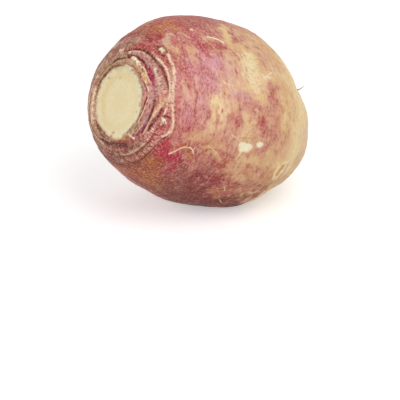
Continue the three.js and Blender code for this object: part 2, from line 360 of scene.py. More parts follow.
# nodules, flakes and dots
scars["details"] = [
    ("creaseShade", 0.5, 0.85, -0.3, 17, 37.9, 21, 37.1, 27, 37.3, 31, 38.2),
    ("creaseShade", 0.45, 0.75, -0.2, 19, 39.2, 25, 39.8, 30, 39.3),
    ("ivory", 0.8, 1, 0.8, 22.5, 38.3, 26, 38.5), ("ivory", 0.75, 0.9, 0.6, -24, 29.3, -19, 29.5),
    ("bark", 1.5, 0.5, 0.2, -25, 31.2, -20, 31.6), ("cork", 0.5, 0.9, 0.4, -8, 28.5, -3, 28.7),
    ("creaseShade", 0.8, 0.8, -0.3, 87.4, 35.7, 87.6, 38.2), ("creaseShade", 0.5, 0.6, -0.2, 96.4, 36.2, 96, 38),
    ("ivory", 0.8, 1, 0.5, 90.8, 36.4, 93, 37.2), ("ivory", 0.5, 0.8, 0.3, 89.6, 35.2, 90.6, 36),
    ("umber", 0.3, 0.8, -0.2, 92.2, 36.9, 92.8, 37),
    ("ivory", 0.6, 1, 0.7, 126.6, 22.8, 126, 24.8, 125, 26.6),
    ("ivory", 0.8, 1, 0.45, 3, 26.9, 10, 27.1, 17, 27),
    ("ivory", 0.6, 0.9, 0.35, 14, 26.6, 22, 26.5, 28, 26.9),
    ("ivory", 0.35, 0.9, 0.3, 3, 21.5, 9, 22.3, 15, 23.2), ("scorch", 0.5, 0.9, -0.1, 28, 26.5, 32, 26.1),
    ("scorch", 0.3, 0.8, 0, 22, 26.3, 23.5, 26.3), ("ivory", 0.7, 0.7, 0.25, 38, 32.1, 46, 31.8),
    ("scorch", 0.4, 0.9, -0.15, 41, 32.8, 45, 33), ("scorch", 0.4, 0.85, -0.1, 76, 26.9, 80, 26.9),
    ("deepRed", 0.35, 0.7, 0, 20, 30.8, 24, 30.8), ("scorch", 0.4, 0.8, 0, 20, 20.7, 27, 20.9),
    ("scorch", 0.35, 0.55, 0, 30, 22.1, 33, 22.4), ("scorch", 0.8, 0.8, -0.1, 48.5, 21.1, 51, 22.3),
    ("scorch", 0.25, 0.55, 0, 63.5, 21.2, 64, 22.4),
    ("umber", 0.22, 0.6, -0.1, 34, 20.8, 48, 21.3, 62, 20.9, 78, 20.8, 94, 21.5, 106, 21.1),
    ("olive", 0.8, 0.85, 0, 73.5, 18.8, 78, 19.3), ("olive", 0.7, 0.5, 0, 60, 17.9, 62, 18.3),
    ("scorch", 0.25, 0.5, 0, 7, 20.4, 11, 20.6), ("scorch", 0.4, 0.8, 0, 104, 21, 112, 20.5, 117, 20.5),
    ("scorch", 0.35, 0.6, 0, 122, 20.6, 133, 20.6), ("scorch", 0.25, 0.5, 0, 136, 20.7, 146, 20.8),
    ("olive", 0.9, 0.6, 0, 168, 17.9, 173, 18.1),
    ("scorch", 0.26, 0.9, -0.15, 113, 23.2, 107.5, 23.6, 108.5, 24.7, 113, 24.7, 118, 24.4),
    ("creaseShade", 0.4, 0.8, -0.3, 131, 30.1, 136, 30, 138, 31, 134, 31.7, 130.6, 31.2, 131, 30.1),
    ("creaseShade", 0.4, 0.6, -0.2, 156, 33.6, 162, 33.5), ("scorch", 0.6, 0.8, -0.3, 169, 35.4, 175, 34.6),
    ("moss", 0.45, 0.75, 0, -33, 19.6, -36.4, 20.8), ("moss", 0.5, 0.75, 0, -56.4, 18.2, -60, 19.4),
    ("moss", 0.5, 0.85, 0, -82, 21.8, -85, 22.4), ("moss", 0.35, 0.5, 0, -8, 17.4, -2, 17.2),
    ("moss", 0.5, 0.4, 0, -26, 14.6, -18, 14.8), ("umber", 0.4, 0.6, 0, 51, 20.9, 55, 21),
    ("umber", 0.4, 0.6, 0, 73, 19.6, 78, 19.8), ("moss", 0.4, 0.6, 0, 88, 17.4, 91, 17.6),
    ("umber", 0.35, 0.75, 0, 170, 17.8, 172, 18.3),
]

# short pale lines that point outwards, coloured by the material
scars["dashes"] = [
    ("cork", 1.2, 1, 0.3, 94, 33.5, 104, 33),
    ("cork", 1.2, 0.6, 0.15, 105, 32.9, 125, 32.7, 146, 31.8, 165, 31),
    ("cork", 1.1, 0.5, 0.1, 104, 36.6, 125, 36.4, 150, 35.8, 170, 35),
    ("cork", 1.6, 0.5, 0.15, 50, 32, 60, 33.4, 67, 34.6),
    ("cork", 0.7, 0.6, 0.1, 46, 38, 62, 37.9, 84, 37.6),
    ("cork", 0.6, 0.75, 0.1, 18, 34.2, 30, 35.2, 44, 37.4),
    ("cork", 1.6, 0.35, 0.1, -38, 33.4, -20, 34.4, -5, 35.8),
    ("cork", 1.6, 0.35, 0.1, 150, 28.6, 170, 28.6, 200, 28),
    ("cork", 1.2, 0.3, 0.1, 80, 32.4, 90, 31, 97, 29.6),
    ("cork", 1.4, 0.45, 0.1, 225, 29, 270, 28.6, 320, 30),
]

# The pale flesh of the cut
cutFlesh = {
    "waves": (5, 1.2),  # sizes of the broad and the fine waves in its colours
    "yellowRing": (15.3, 2.6, 2),  # (middle, width, wave) of a yellower ring
    "yellowTurns": (-95, 95),  # (middle, reach) of the side where that ring is strongest
    "yellowShare": (0.3, 0.7),  # strength all round, and what that side adds
    "layers": [  # (paint, strength, rings, wave)
        ("fleshCore", 0.35, (11, 3), 4),
        ("ivory", 0.6, (16.5, 20), 3),
    ],
    "rim": (17, 20.5),
    "rimWaves": (5, 3),
    "rimTurns": (60, -10),
    "rimMiddle": -20,
    "rimShare": (0.12, 0.2),
    "softEdge": (0.5, -0.5),
    "edgeWaves": (0.8, 0.5),
    "edge": [  # where it ends, (turn, ring)
        (-180, 20.9), (-165, 20), (-150, 20.9), (-120, 21.9), (-60, 21.6), (-25, 21.4), (-5, 21.9),
        (4, 22.5), (12, 20.8), (30, 20.4), (45, 21), (60, 20.6), (76, 20.4), (90, 21.3), (104, 20.8),
        (118, 20.2), (130, 20.7), (150, 21.6), (180, 20.9),
    ],
}

# The cut end of the stub: dried flesh inside a brown rim, (paint, strength, rings, wave, size)
stubLayers = [
    ("dried", 0.8, (1, 4.6), 4, 2.5),
    ("brown", 0.6, (4.2, 5.4), 1, 2),
]

# Blotches, as strokes: (paint, station, turn, station, turn, half width, strength)
blotches = {
    "stretch": (3.2, 3.2, 1),  # how far the patterns are drawn out round the root
    "broadSize": 13,
    "streakSize": 1.1,
    "looseSize": 4,
    "looseStreaks": 0.7,
    "rootTan": (6, -22),  # stations over which the skin turns tan, then cream, towards the root
    "rootCream": (-20, -34),
    "rootShare": 0.8,
    "rootFray": (9, 2.5),  # how far the broad pattern and the streaks move those stations
    "redPatches": [  # small patches all over, (paint, size, (start, full), strength)
        ("red", 3.4, (0.06, 0.36), 0.32),
        ("crimson", 2.2, (0.14, 0.36), 0.3),
        ("maroon", 1.5, (0.14, 0.4), 0.3),
    ],
    "palePatches": [
        ("tan", 3.6, (0.04, 0.32), 0.4),
        ("yellow", 2.2, (0.08, 0.34), 0.4),
    ],
    "paleEdge": (44, 20),  # stations over which the pale patches set in
    "grounds": {"mid": (0.58, 0.42), "red": (0.08, 0.2), "pale": (0.17, 0.32)},  # brightness under patches
    "patchShift": 23,
    "warps": [(6, 1.6), (2.2, 0.9)],  # (size, shift) of the bends in a blotch's edge
    "leastRadius": 10,  # nearer to the axis these bends turn no further
    "fray": {"washes": 0.6, "spots": 1},
    "edge": (0.06, 0.92),  # how soft a blotch ends
    "mottles": [(13, 0.3), (4.2, 0.6), (1.3, 0.85)],  # (size, share)
    "lights": [  # (paint, strength, tones, brightness)
        ("peach", 0.4, (0.05, 0.75), (0.1, 0.28)),
        ("pale", 0.25, (0, 0.6), (0.28, 0.45)),
    ],
    "darkTones": (0.05, 0.75),
    "darken": (0.84, 0.62, 0.64),
    "darkShare": (0.75, 0.35),  # on the skin, and how much less on its pale parts
    "darkPale": (0.26, 0.45),  # brightness of those pale parts
}

blotches["washes"] = [
    ("brick", 48, -26, 6, -26, 20, 0.95), ("pink", 46, 50, 36, 96, 11, 0.5),
    ("lilac", 31, 46, 20, 54, 9, 0.8), ("lilac", 34, 62, 28, 72, 7, 0.6),
    ("tan", 18, 66, -6, 86, 11, 0.35), ("tan", 6, 34, -12, 54, 11, 0.45),
    # the rust wash at the end of this line and the brown and umber washes on the next line, round turns 150
    # to 165, darken the underside: its own browner skin with painted shade over it
    ("yellow", -18, 16, -25, 56, 6, 0.6), ("rust", 54, 150, 14, 160, 15, 0.9),
    ("brown", 20, 150, -16, 156, 16, 1), ("umber", 14, 160, -20, 164, 12, 0.5),
    ("smoke", -24, 152, -32, 184, 9, 0.6), ("tan", -34, 150, -44, 186, 9, 0.6),
    ("brown", 45, 205, 0, 210, 20, 0.7), ("apricot", 4, 112, -14, 121, 9, 0.75),
    ("apricot", 24, 100, 4, 104, 6, 0.5), ("yellow", 0, 103, -24, 98, 5, 0.55),
    ("olive", -34, 118, -50, 128, 12, 0.7), ("smoke", -12, 124, -24, 122, 6, 0.5),
    ("peach", -48, 78, -54, 92, 9, 0.7),
]

blotches["spots"] = [
    ("brick", 49, -14, 42, -15, 4.5, 0.7), ("red", 49.5, -24, 47, -8, 3, 0.75),
    ("amber", 45, -5, 34, 0, 5, 1), ("maroon", 49.5, 0, 47.5, 7, 2.6, 0.85),
    ("red", 31, -2, 26, 6, 3.4, 0.85), ("brick", 24, 3, 12, 2, 5, 0.6),
    ("crimson", 31, 10, 28, 20, 2.5, 0.35), ("tan", 47, 24, 44.5, 31, 2.4, 1),
    ("tan", 41, 26, 36, 33, 3, 0.9), ("tan", 24, 21, 12, 27, 1.8, 0.6),
    ("crimson", 30, 27, 29, 35, 2.4, 0.55), ("red", 28, 28, 24, 33, 2.4, 0.5),
    ("crimson", 22, 28, 17, 31, 2.4, 0.5), ("lilac", 30, 42, 18, 49, 5.5, 0.8),
    ("lilac", 33, 58, 26, 64, 4.2, 0.7), ("rose", 36, 46, 30, 55, 2.4, 0.6),
    ("peach", 14, 38, 12, 47, 2.6, 0.5), ("lilac", 36, 72, 33, 84, 2.8, 0.6),
    ("lilac", 43.5, 68, 41.5, 84, 2.8, 0.4), ("tan", 44.5, 59, 43.5, 68, 0.9, 0.7),
    ("tan", 40.5, 60, 40, 67, 0.8, 0.6), ("tan", 38, 37, 36, 43, 0.9, 0.6),
    ("yellow", 0, 1, 5, 10, 2.3, 0.95), ("yellow", 5, 10, 8, 20, 2.3, 0.95),
    ("yellow", 8, 19, 8.6, 22, 2, 0.9), ("yellow", 9, 25, 9, 31, 1.5, 0.9),
    ("tan", 7, 29, -1, 20, 2.2, 0.7), ("tan", -1, 20, -6, 10, 2.4, 0.6), ("red", 6, 25, 1, 20, 1.4, 0.55),
    ("yellow", 4, 31, -3, 37, 3.6, 0.8), ("yellow", -2, 42, -4, 52, 3, 0.7), ("pale", 3, 39, 2, 51, 5, 1),
    ("pale", 4, 51, 3, 58, 4.6, 1), ("ivory", 5, 44, 3, 57, 3.6, 0.5), ("yellow", 3, 58, 0, 65, 2.4, 0.9),
    ("peach", 0, 57, 1, 74, 3.2, 0.6), ("salmon", -4, 62, -6, 72, 3, 0.5),
    ("peach", 15, 46, 16, 78, 3.6, 0.5), ("pale", 23, 58.6, 16.6, 62.4, 1.7, 1),
    ("yellow", 16, 62, 7, 60, 2, 0.8), ("olive", -7, 9, -12, 12, 3.5, 0.6),
    ("yellow", -3, 24, -15, 16, 2.2, 0.6), ("salmon", -12, 30, -13, 42, 3.4, 0.7),
    ("peach", -8, 38, -11, 52, 2.6, 0.45), ("red", -8, 38, -12, 44, 1.6, 0.4),
    ("ivory", -6, 50.4, -9.6, 50.4, 1.2, 0.9), ("red", -8, 58, -12, 66, 2.6, 0.45),
    ("crimson", -1.5, 79, -4, 83, 2.3, 0.6), ("crimson", 40.6, 89.5, 39, 92.5, 1.9, 0.85),
    ("crimson", 46, 94, 41, 99, 2.2, 0.45), ("lilac", 42, 66, 40.6, 88, 2.4, 0.35),
    ("lilac", 49, 50, 47.5, 58, 2.4, 0.5), ("pale", 28, 71, 25, 82.4, 3.5, 0.95),
    ("cream", 26.4, 74, 25.2, 80, 1.4, 0.5), ("yellow", 28, 79, 26, 89, 2.3, 0.6),
    ("peach", 22, 62, 23, 70, 2.6, 0.8), ("tan", 23, 90, 19, 98, 2, 0.6),
    ("salmon", 18, 64, 9, 70, 3.2, 0.7), ("peach", 22.5, 80, 22, 90, 2.4, 0.65),
    ("crimson", 18, 80, 17, 84, 1.8, 0.35), ("crimson", 14, 82, 9.6, 86, 2, 0.5),
    ("tan", 15, 87, 7, 89, 2, 0.6), ("yellow", 7.6, 79, 6, 86, 2, 0.75), ("tan", 1, 86, -6, 88, 1.8, 0.5),
    ("tan", 38, 99, 30, 97, 2.4, 0.8), ("tan", 36, 94, 20, 97, 2.4, 0.75),
    ("yellow", 29, 102, 12, 98, 0.8, 0.6), ("tan", 23, 104, 14, 108, 1.4, 0.6),
    ("yellow", 19, 106, 14, 106, 0.7, 0.7), ("crimson", 48, 106, 43, 119, 3.6, 0.85),
    ("crimson", 46, 118, 42, 126, 3.6, 0.85), ("crimson", 40, 111, 36, 120, 3.2, 0.85),
    ("crimson", 38, 121, 34, 131, 3.2, 0.7), ("tan", 43, 106, 41, 113, 1.4, 0.5),
    ("amber", 35.5, 107.5, 30, 113, 2.5, 1), ("red", 29, 110, 18, 114, 3.2, 0.45),
    ("salmon", 24, 113, 16, 116, 2.4, 0.5), ("crimson", 15, 112, 12, 119, 2.4, 0.5),
    ("maroon", 17, 120, 6, 126, 4.8, 0.9), ("plum", 19, 126, 12, 129, 3, 0.7),
    ("brown", 22, 132, 6, 142, 5.4, 0.7), ("smoke", 31, 121, 26, 134, 3, 0.7),
    ("smoke", 27, 136, 18, 147, 3.2, 0.6), ("amber", 47, 132, 43, 134, 2.4, 1),
    ("amber", 42, 140, 36, 143, 2.4, 0.5), ("amber", 38, 150, 26, 160, 4, 0.6),
    ("plum", 52, 142, 44, 144, 2.5, 0.5), ("brown", 12, 148, 4, 152, 3, 0.5),
    ("apricot", 9, 107, 2, 113, 3, 0.8), ("red", 0, 122, -5, 128, 2.2, 0.4),
    ("amber", 0, 137, -6, 141, 2.8, 1), ("olive", -14, 76, -21, 84, 2.8, 0.6),
    ("yellow", -15, 70, -19, 79, 2.8, 0.6), ("peach", -20, 84, -24, 94, 2.8, 0.5),
    ("tan", 10, 98, 4, 103, 2.4, 0.6), ("yellow", -14, 61, -27, 70, 4, 0.9),
    ("yellow", -10, 94, -20, 101, 3.2, 0.7), ("tan", -9, 84, -14, 92, 2.6, 0.5),
    ("yellow", 1, 104, -7, 102, 2.6, 0.75), ("cream", -22, 99, -30, 107, 2.2, 0.7),
    # the umber spot on this line darkens the underside further: partly its own colour, partly painted shade
    ("smoke", -14, 119, -26, 121, 4, 0.5), ("umber", -14, 148, -26, 152, 5.5, 0.95),
    ("olive", -38, 113, -52, 118, 4.5, 0.6), ("peach", 27, 88, 14, 88, 3.2, 0.35),
    ("peach", 9, 84, -6, 89, 3.2, 0.4), ("pale", 10, 69, 0, 62, 4, 0.3),
    ("salmon", 20, 116, 13, 120, 3.2, 0.4), ("salmon", 4, 110, 0, 113, 3, 0.4),
    ("brick", 29, 122, 25, 125, 3.2, 0.35), ("red", 16, 129, 12, 132, 3, 0.25),
    ("brown", 2, 144, -4, 148, 4, 0.4), ("peach", 9, 60, -14, 42, 3.6, 0.35),
    ("pale", -9, 28, -15, 44, 3.6, 0.4), ("pale", -18, 44, -24, 47, 3.2, 0.3),
    ("peach", 5, 106, -6, 118, 3.4, 0.4), ("tan", -8, 118, -16, 109, 3.4, 0.6),
    ("salmon", 46.6, 34, 44.8, 42, 2.6, 0.6), ("tan", -15, 58, -19, 63, 3.4, 0.35),
    ("peach", 41.4, 66, 39, 76, 2.2, 0.35), ("rose", 38.6, 51, 38, 55, 2.4, 0.4),
    ("peach", 23, 65.6, 14, 62, 2.6, 0.4), ("peach", 13, 57, 10, 56, 2.4, 0.4),
    ("pale", 7, 56, 1, 55, 2.4, 0.4), ("peach", -5, 56, -5, 66, 2.8, 0.5),
    ("salmon", -15, 58, -14, 64, 2, 0.35), ("pale", -24, 43, -26, 60, 3, 0.35),
    ("salmon", 7.4, 42, 8.6, 48, 2, 0.5), ("yellow", -3, 30, -8.5, 28, 2.4, 0.35),
    ("salmon", -16, 31, -13, 38, 2.4, 0.35), ("rose", 33.6, 73, 32, 76, 2.2, 0.35),
    ("salmon", 4, 69, 3.6, 72, 1.8, 0.4), ("peach", 8, 74.5, 3, 77, 2.4, 0.6),
    ("peach", 7, 81, 2.4, 80, 2.2, 0.4), ("peach", 33, 82, 30, 89.5, 2.8, 0.5),
    ("salmon", 38.4, 86, 36.4, 88, 2.2, 0.4), ("rose", 45, 94.6, 42, 97, 2.6, 0.45),
    ("red", 38, 96, 37.8, 97, 1.8, 0.35), ("tan", 34, 99, 32, 104, 2.2, 0.4),
    ("peach", 19.6, 91, 14, 94, 2.6, 0.55), ("peach", 14, 94, 12.4, 97.6, 2.4, 0.5),
    ("peach", 12.6, 89, 8.4, 88, 2.2, 0.4), ("salmon", -5.4, 92, -8.4, 96, 2.6, 0.55),
    ("peach", -14, 90.6, -19, 89.8, 2.2, 0.35), ("pale", -18.4, 73, -24, 75, 2.8, 0.55),
    ("tan", -18, 98, -23, 97, 2.8, 0.45), ("olive", -40, 101, -49, 96, 4, 0.35),
    ("tan", -7, 109.6, -18, 113, 3.2, 0.45), ("tan", -17, 117.4, -22, 116, 2.8, 0.45),
    ("olive", -28, 113, -36, 117, 3.2, 0.5), ("tan", 23, 108.6, 21.4, 110, 2.4, 0.35),
    ("maroon", 38.6, 136, 31, 128, 2.8, 0.3), ("maroon", 31.6, 120, 25.4, 124, 2.8, 0.3),
    ("maroon", 16, 133, 12, 131, 2.4, 0.3), ("red", 10.4, 122, 3, 126.6, 2.8, 0.4),
    # the brick, brown and umber spots on this line and the next darken the lower side: partly its own
    # colour, partly painted shade
    ("brick", 29, 146, 20, 152, 3.2, 0.4), ("brown", 46, 172, 24, 164, 3.6, 0.5),
    ("brown", -16, 138, -27, 131, 3.6, 0.75), ("umber", 6, 162, -18, 144, 4.4, 0.7),
    ("pale", -25, 52, -28, 56, 2.8, 0.4), ("crimson", 44, 108, 42.6, 111, 1.8, 0.35),
    ("brown", 40, 172, 30, 166, 4, 0.5), ("pale", 5.6, 45, 4.2, 56, 2.6, 0.8),
    ("yellow", 4, 57, -0.4, 66, 2.3, 0.75), ("ivory", 6, 52, 3, 61, 1.7, 0.35),
    ("pink", 45, 58, 45, 72, 2.2, 0.4), ("rose", 33.4, 63, 32.6, 68, 2.4, 0.35),
    ("lilac", 20, 61, 17, 65, 2.6, 0.3), ("lilac", 15, 66, 8, 69, 3.6, 0.4),
    ("rose", 10, 71, 2, 71.6, 3, 0.45), ("pink", -10.4, 57, -9.6, 69, 3.2, 0.5),
    ("rose", -11, 72, -12, 84, 3.2, 0.4), ("crimson", -1.4, 77, -0.2, 81, 1.8, 0.45),
    ("pink", 16, 79, 13.6, 87, 2.8, 0.2), ("rose", 36, 78, 35, 83, 2.2, 0.35),
    ("salmon", 44, 94, 43, 103, 2.6, 0.3), ("red", 30.4, 93, 27.4, 101, 2.4, 0.2),
    ("peach", -9.6, 70, -8, 82, 2.4, 0.25), ("pale", -30, 58, -31, 78, 3.4, 0.35),
    ("ivory", -43, 68, -44, 78, 3, 0.2), ("yellow", 7.4, 91, -0.4, 90, 1.7, 0.4),
    ("yellow", 8, 99.6, 4.4, 103, 2.2, 0.3), ("red", 19, 108, 15.4, 106.8, 2, 0.25),
    ("maroon", 4, 158, -12, 146, 4.4, 0.3), ("brown", -20, 130, -28, 129, 3, 0.35),
    ("brown", -19, 141, -24, 138, 2.8, 0.35), ("olive", -30, 115, -34, 116, 2.8, 0.4),
    ("pink", -5, 82, -9.6, 90, 3, 0.5), ("rose", 2, 86, -10, 99, 2.6, 0.35),
    ("rose", 20, 92, 8, 103, 4, 0.45), ("ash", 42.5, 10, 46.5, 18, 1.9, 0.75),
    ("ash", 28.4, 10.5, 27.6, 10.8, 0.9, 0.9),
]

# Blotches of the side that faces away, scattered in the same sizes as the ones above
hiddenSide = {
    "seed": 11,
    "stations": (-20, 47),
    "turns": (178, 332),
    "counts": {
        "tan": 9, "yellow": 12, "crimson": 9, "red": 8, "lilac": 6, "maroon": 7, "amber": 8, "smoke": 3,
        "salmon": 6, "ash": 2,
    },
    "halfWidth": (2.4, 5.2),
    "strength": (0.5, 0.95),
    "reach": (2, 9, 10),  # least and most that a stroke runs along the root, and most round it
}

# How strongly the skin is flecked, dark and pale; the pale flecks are partly painted glints
speckles = {
    "pale": (0.28, 0.5),  # brightness over which the flecks fade
    "paleLoss": 0.65,
    "dark": (0.05, 0.16),
    "darkShare": 0.62,
    "clean": (0.89, 0.8),
}

# Raised cork lines and flaked chips: (paint, half width, height, station, turn, station, turn, ...)
marks = {
    "fray": 0.25,
    "looseSize": 1.3,
    "strength": {"lines": 0.9, "chips": 0.95},
    "footWidth": 0.15,  # how much wider a line is at its foot
    "cuts": 3,  # how finely the mesh is divided round the marks
    "reach": 1.6,
    "endRadius": 25,  # the ends of the root inside this radius are not divided
}

marks["lines"] = [
    ("ivory", 0.65, 0.25, 22, 20.5, 18, 22.5, 14, 26.5),
    ("cork", 0.4, 0.25, 42, 116.5, 40, 111.5, 38, 107.5, 35.5, 105.6, 33, 106, 31, 109),
    ("yellow", 0.3, 0.12, -3, 2, -4.5, 8, -4, 14), ("tan", 0.4, 0.12, 39, 37, 38.3, 42.5),
    ("cream", 0.4, 0.12, -7, 50, -12, 46.5), ("yellow", 0.35, 0.1, -0.5, 113, -1, 119),
    ("cork", 0.3, 0.1, -11, 145, -15, 148), ("peach", 0.6, 0.12, 23.5, 58, 21.5, 60.5, 18, 60.5),
    ("peach", 0.4, 0.12, 15.6, 90, 12.5, 91, 9.6, 92.2),
    ("olive", 0.45, -0.1, 9.4, 90.6, 4, 89.6, -1.5, 88.6), ("yellow", 0.35, 0.1, 26, 100.5, 19, 103.5),
    ("cork", 0.3, 0.1, -2, 128.5, -6, 133),
    ("cream", 1, 0.35, -27, 111, -25.4, 106, -26.2, 101.6, -29.4, 98),
    ("cork", 0.8, 0.35, -27, 111, -31, 107.6, -32.6, 103, -31.4, 98.6),
    ("olive", 1.3, -0.5, -28.2, 107.4, -29.4, 101.6),  # slit near the root
]

marks["chips"] = [
    ("ivory", 1.7, -0.1, 7.4, 94.4, 1.2, 94.4), ("ivory", 1.7, -0.1, 6, 97.2, 2.4, 96.6),
    ("ivory", 1.7, -0.1, -4, 91.8, -5, 91.8), ("cream", 0.4, 0, 5.4, 98.6, 6.2, 104),
    ("ivory", 0.5, 0.2, 28.4, 10.4, 27.9, 10.8),
]

# Fine rings round the root end
wrinkles = {
    "stations": (-50, -74),  # over which they set in
    "stretch": (7, 7, 0.7),
    "size": 1.4,
    "edge": (-0.1, 0.35),
    "depth": 0.2,
    "strength": 0.6,
}

# Shifts that keep the patterns apart
apart = {
    "station": 5.1, "turn": 31.7, "loose": 40, "mottle": 11.3, "wrinkle": 60, "scarRing": 3.3,
    "scarTurn": 17.9, "fibre": 8.8, "lump": 7.7, "thread": 2.2,
}


def scatterHiddenSide(pick):
    leastRun, mostRun, mostTurn = hiddenSide["reach"]
    strokes = []
    for paint, count in hiddenSide["counts"].items():
        for _ in range(count):
            station = pick.uniform(*hiddenSide["stations"])
            turn = pick.uniform(*hiddenSide["turns"])
            end = (station - pick.uniform(leastRun, mostRun), turn + pick.uniform(-1, 1) * mostTurn)
            halfWidth = pick.uniform(*hiddenSide["halfWidth"])
            strokes.append((paint, station, turn, *end, halfWidth, pick.uniform(*hiddenSide["strength"])))
    pick.shuffle(strokes)
    return strokes


def linear(code):
    channels = [int(code[i:i + 2], 16) / 255 for i in (0, 2, 4)]
    return [c / 12.92 if c <= 0.04045 else ((c + 0.055) / 1.055) ** 2.4 for c in channels]


paintColours = {name: np.array(linear(code)) for name, code in paints.items()}


fractal = {"dimension": 0.9, "lacunarity": 2.1, "scale": 0.8}
frayStart = (0.02, 0.3)  # strengths of a stroke over which its ragged edge sets in


# bumpy pattern between about -0.5 and 0.5, with lumps of the given size
def pattern(points, size, octaves=3):
    kind = (fractal["dimension"], fractal["lacunarity"], octaves)
    return np.array([noise.fractal(Vector(spot), *kind) for spot in points / size]) * fractal["scale"]


def lay(colour, paint, amount):
    colour += (paintColours[paint] - colour) * amount[:, None]


# strength of a stroke, which is half at its half width
def brush(distance, halfWidth):
    return np.exp(-0.7 * (distance / halfWidth) ** 2)


# (a, b, c, d, ...) as [(a, b), (c, d), ...]
def pairs(row):
    return list(zip(row[::2], row[1::2]))


def strokeDistance(start, end, station, turn, radius):
    middle = (start[1] + end[1]) / 2
    perDegree = np.radians(radius)
    around = wrapped(turn - middle) * perDegree
    firstAround = (start[1] - middle) * perDegree
    run = end[0] - start[0]
    runAround = (end[1] - start[1]) * perDegree
    fromStart = station - start[0]
    length = run**2 + runAround**2 + 1e-6
    share = np.clip((fromStart * run + (around - firstAround) * runAround) / length, 0, 1)
    return np.hypot(fromStart - share * run, around - firstAround - share * runAround)


def lineDistance(points, station, turn, radius):
    spans = [strokeDistance(a, b, station, turn, radius) for a, b in zip(points, points[1:])]
    return np.minimum.reduce(spans)


# the same path with its corners cut twice
def rounded(path):
    for _ in range(2):
        cut = [path[0]]
        for a, b in zip(path, path[1:]):
            for share in (0.75, 0.25):
                cut.append(tuple(np.add(np.multiply(a, share), np.multiply(b, 1 - share))))
        path = cut + [path[-1]]
    return path


def ragged(soft, loose, fray, edge=(0.2, 0.8)):
    return smooth(*edge, soft + fray * loose * smooth(*frayStart, soft))


def brightness(colour):
    return colour @ np.array((0.21, 0.72, 0.07))


def paintPatches(colour, station, around):
    light = brightness(colour)
    mid, red, pale = (smooth(*blotches["grounds"][name], light) for name in ("mid", "red", "pale"))
    pale = pale * smooth(*blotches["paleEdge"], station)
    shift = 0
    for kind, where in (("redPatches", mid * red), ("palePatches", mid * pale)):
        for paint, size, edge, strength in blotches[kind]:
            shift += blotches["patchShift"]
            lay(colour, paint, strength * where * smooth(*edge, pattern(around + shift, size, 3)))


# paints the skin colour over the whole root
def paintSkin(colour, station, turn, radius, lathe):
    around = lathe / np.array(blotches["stretch"])
    broad = pattern(lathe, blotches["broadSize"])
    streaks = pattern(around, blotches["streakSize"], 4)
    moveBroad, moveStreaks = blotches["rootFray"]
    rootward = station + moveBroad * broad + moveStreaks * streaks
    lay(colour, "tan", blotches["rootShare"] * smooth(*blotches["rootTan"], rootward))
    lay(colour, "cream", smooth(*blotches["rootCream"], rootward))
    movedStation, movedTurn = station.copy(), turn.copy()
    leastRadius = np.maximum(radius, blotches["leastRadius"])
    for size, shift in blotches["warps"]:
        movedStation += shift * pattern(lathe + apart["station"], size, 2)
        movedTurn += np.degrees(shift * pattern(lathe + apart["turn"], size, 2) / leastRadius)
    loose = blotches["looseStreaks"] * streaks + pattern(around + apart["loose"], blotches["looseSize"], 3)
    hidden = scatterHiddenSide(random.Random(hiddenSide["seed"]))
    for kind, strokes in (("washes", blotches["washes"]), ("spots", hidden + blotches["spots"])):
        fray = blotches["fray"][kind]
        for paint, *ends, halfWidth, strength in strokes:
            distance = strokeDistance(*pairs(ends), movedStation, movedTurn, radius)
            lay(colour, paint, strength * ragged(brush(distance, halfWidth), loose, fray, blotches["edge"]))
        if kind == "washes":
            paintPatches(colour, station, around)
    mottle(colour, around)


# lighter and darker flecks of all sizes
def mottle(colour, around):
    tone = sum(share * pattern(around + apart["mottle"], size, 3) for size, share in blotches["mottles"])
    light = brightness(colour)
    for paint, strength, tones, lights in blotches["lights"]:
        lay(colour, paint, strength * smooth(*tones, tone) * smooth(*lights, light))
    most, paleLoss = blotches["darkShare"]
    share = most - paleLoss * smooth(*blotches["darkPale"], light)
    shaded = smooth(*blotches["darkTones"], -tone) * share
    colour *= 1 - shaded[:, None] * (1 - np.array(blotches["darken"]))


# less where the skin is pale or very dark, and none on the palest
def speckleOf(colour):
    light = brightness(colour)
    onPale = 1 - speckles["paleLoss"] * smooth(*speckles["pale"], light)
    onDark = speckles["darkShare"] + (1 - speckles["darkShare"]) * smooth(*speckles["dark"], light)
    return onPale * onDark * smooth(*speckles["clean"], light)


def paintMarks(colour, station, turn, radius, lathe, height):
    rings = pattern(lathe / np.array(wrinkles["stretch"]) + apart["wrinkle"], wrinkles["size"], 2)
    wrinkled = smooth(*wrinkles["stations"], station) * smooth(*wrinkles["edge"], rings)
    height -= wrinkles["depth"] * wrinkled
    lay(colour, "olive", wrinkles["strength"] * wrinkled)
    loose = pattern(lathe, marks["looseSize"], 2)
    for kind in ("lines", "chips"):
        for paint, halfWidth, rise, *path in marks[kind]:
            isLine = kind == "lines"
            points = rounded(pairs(path)) if isLine else pairs(path)
            distance = lineDistance(points, station, turn, radius)
            amount = ragged(brush(distance, halfWidth), loose, marks["fray"])
            height += rise * (brush(distance, halfWidth + marks["footWidth"]) if isLine else amount)
            lay(colour, paint, marks["strength"][kind] * amount)


# paints and cuts the leaf scars; every array covers only the points of the leaf end
def growScars(colour, ring, turn, lathe):
    height, dash, lined = np.zeros((3, len(ring)))
    loose = pattern(lathe, scars["looseSize"], 3)
    movedRing, movedTurn = ring.copy(), turn.copy()
    for size, shift in scars["wobble"]:
        movedRing += shift * pattern(lathe + apart["scarRing"], size, 2)
        movedTurn += np.degrees(shift * pattern(lathe + apart["scarTurn"], size, 2) / ring)
    for kind in ("bands", "creases", "ridges", "details", "dashes"):
        for paint, halfWidth, strength, rise, *path in scars[kind]:
            along = [(pathRing, pathTurn) for pathTurn, pathRing in rounded(pairs(path))]
            line = brush(lineDistance(along, movedRing, movedTurn, ring), halfWidth)
            height += rise * line
            if kind == "dashes":
                dash = np.maximum(dash, strength * line)
                continue
            amount = strength * ragged(line, loose, scars["fray"][kind])
            lay(colour, paint, amount)
            if kind != "bands":
                lined = np.maximum(lined, amount)
        if kind == "bands":
            flesh = paintFlesh(colour, ring, turn, lathe)
    return height, dash, lined, flesh


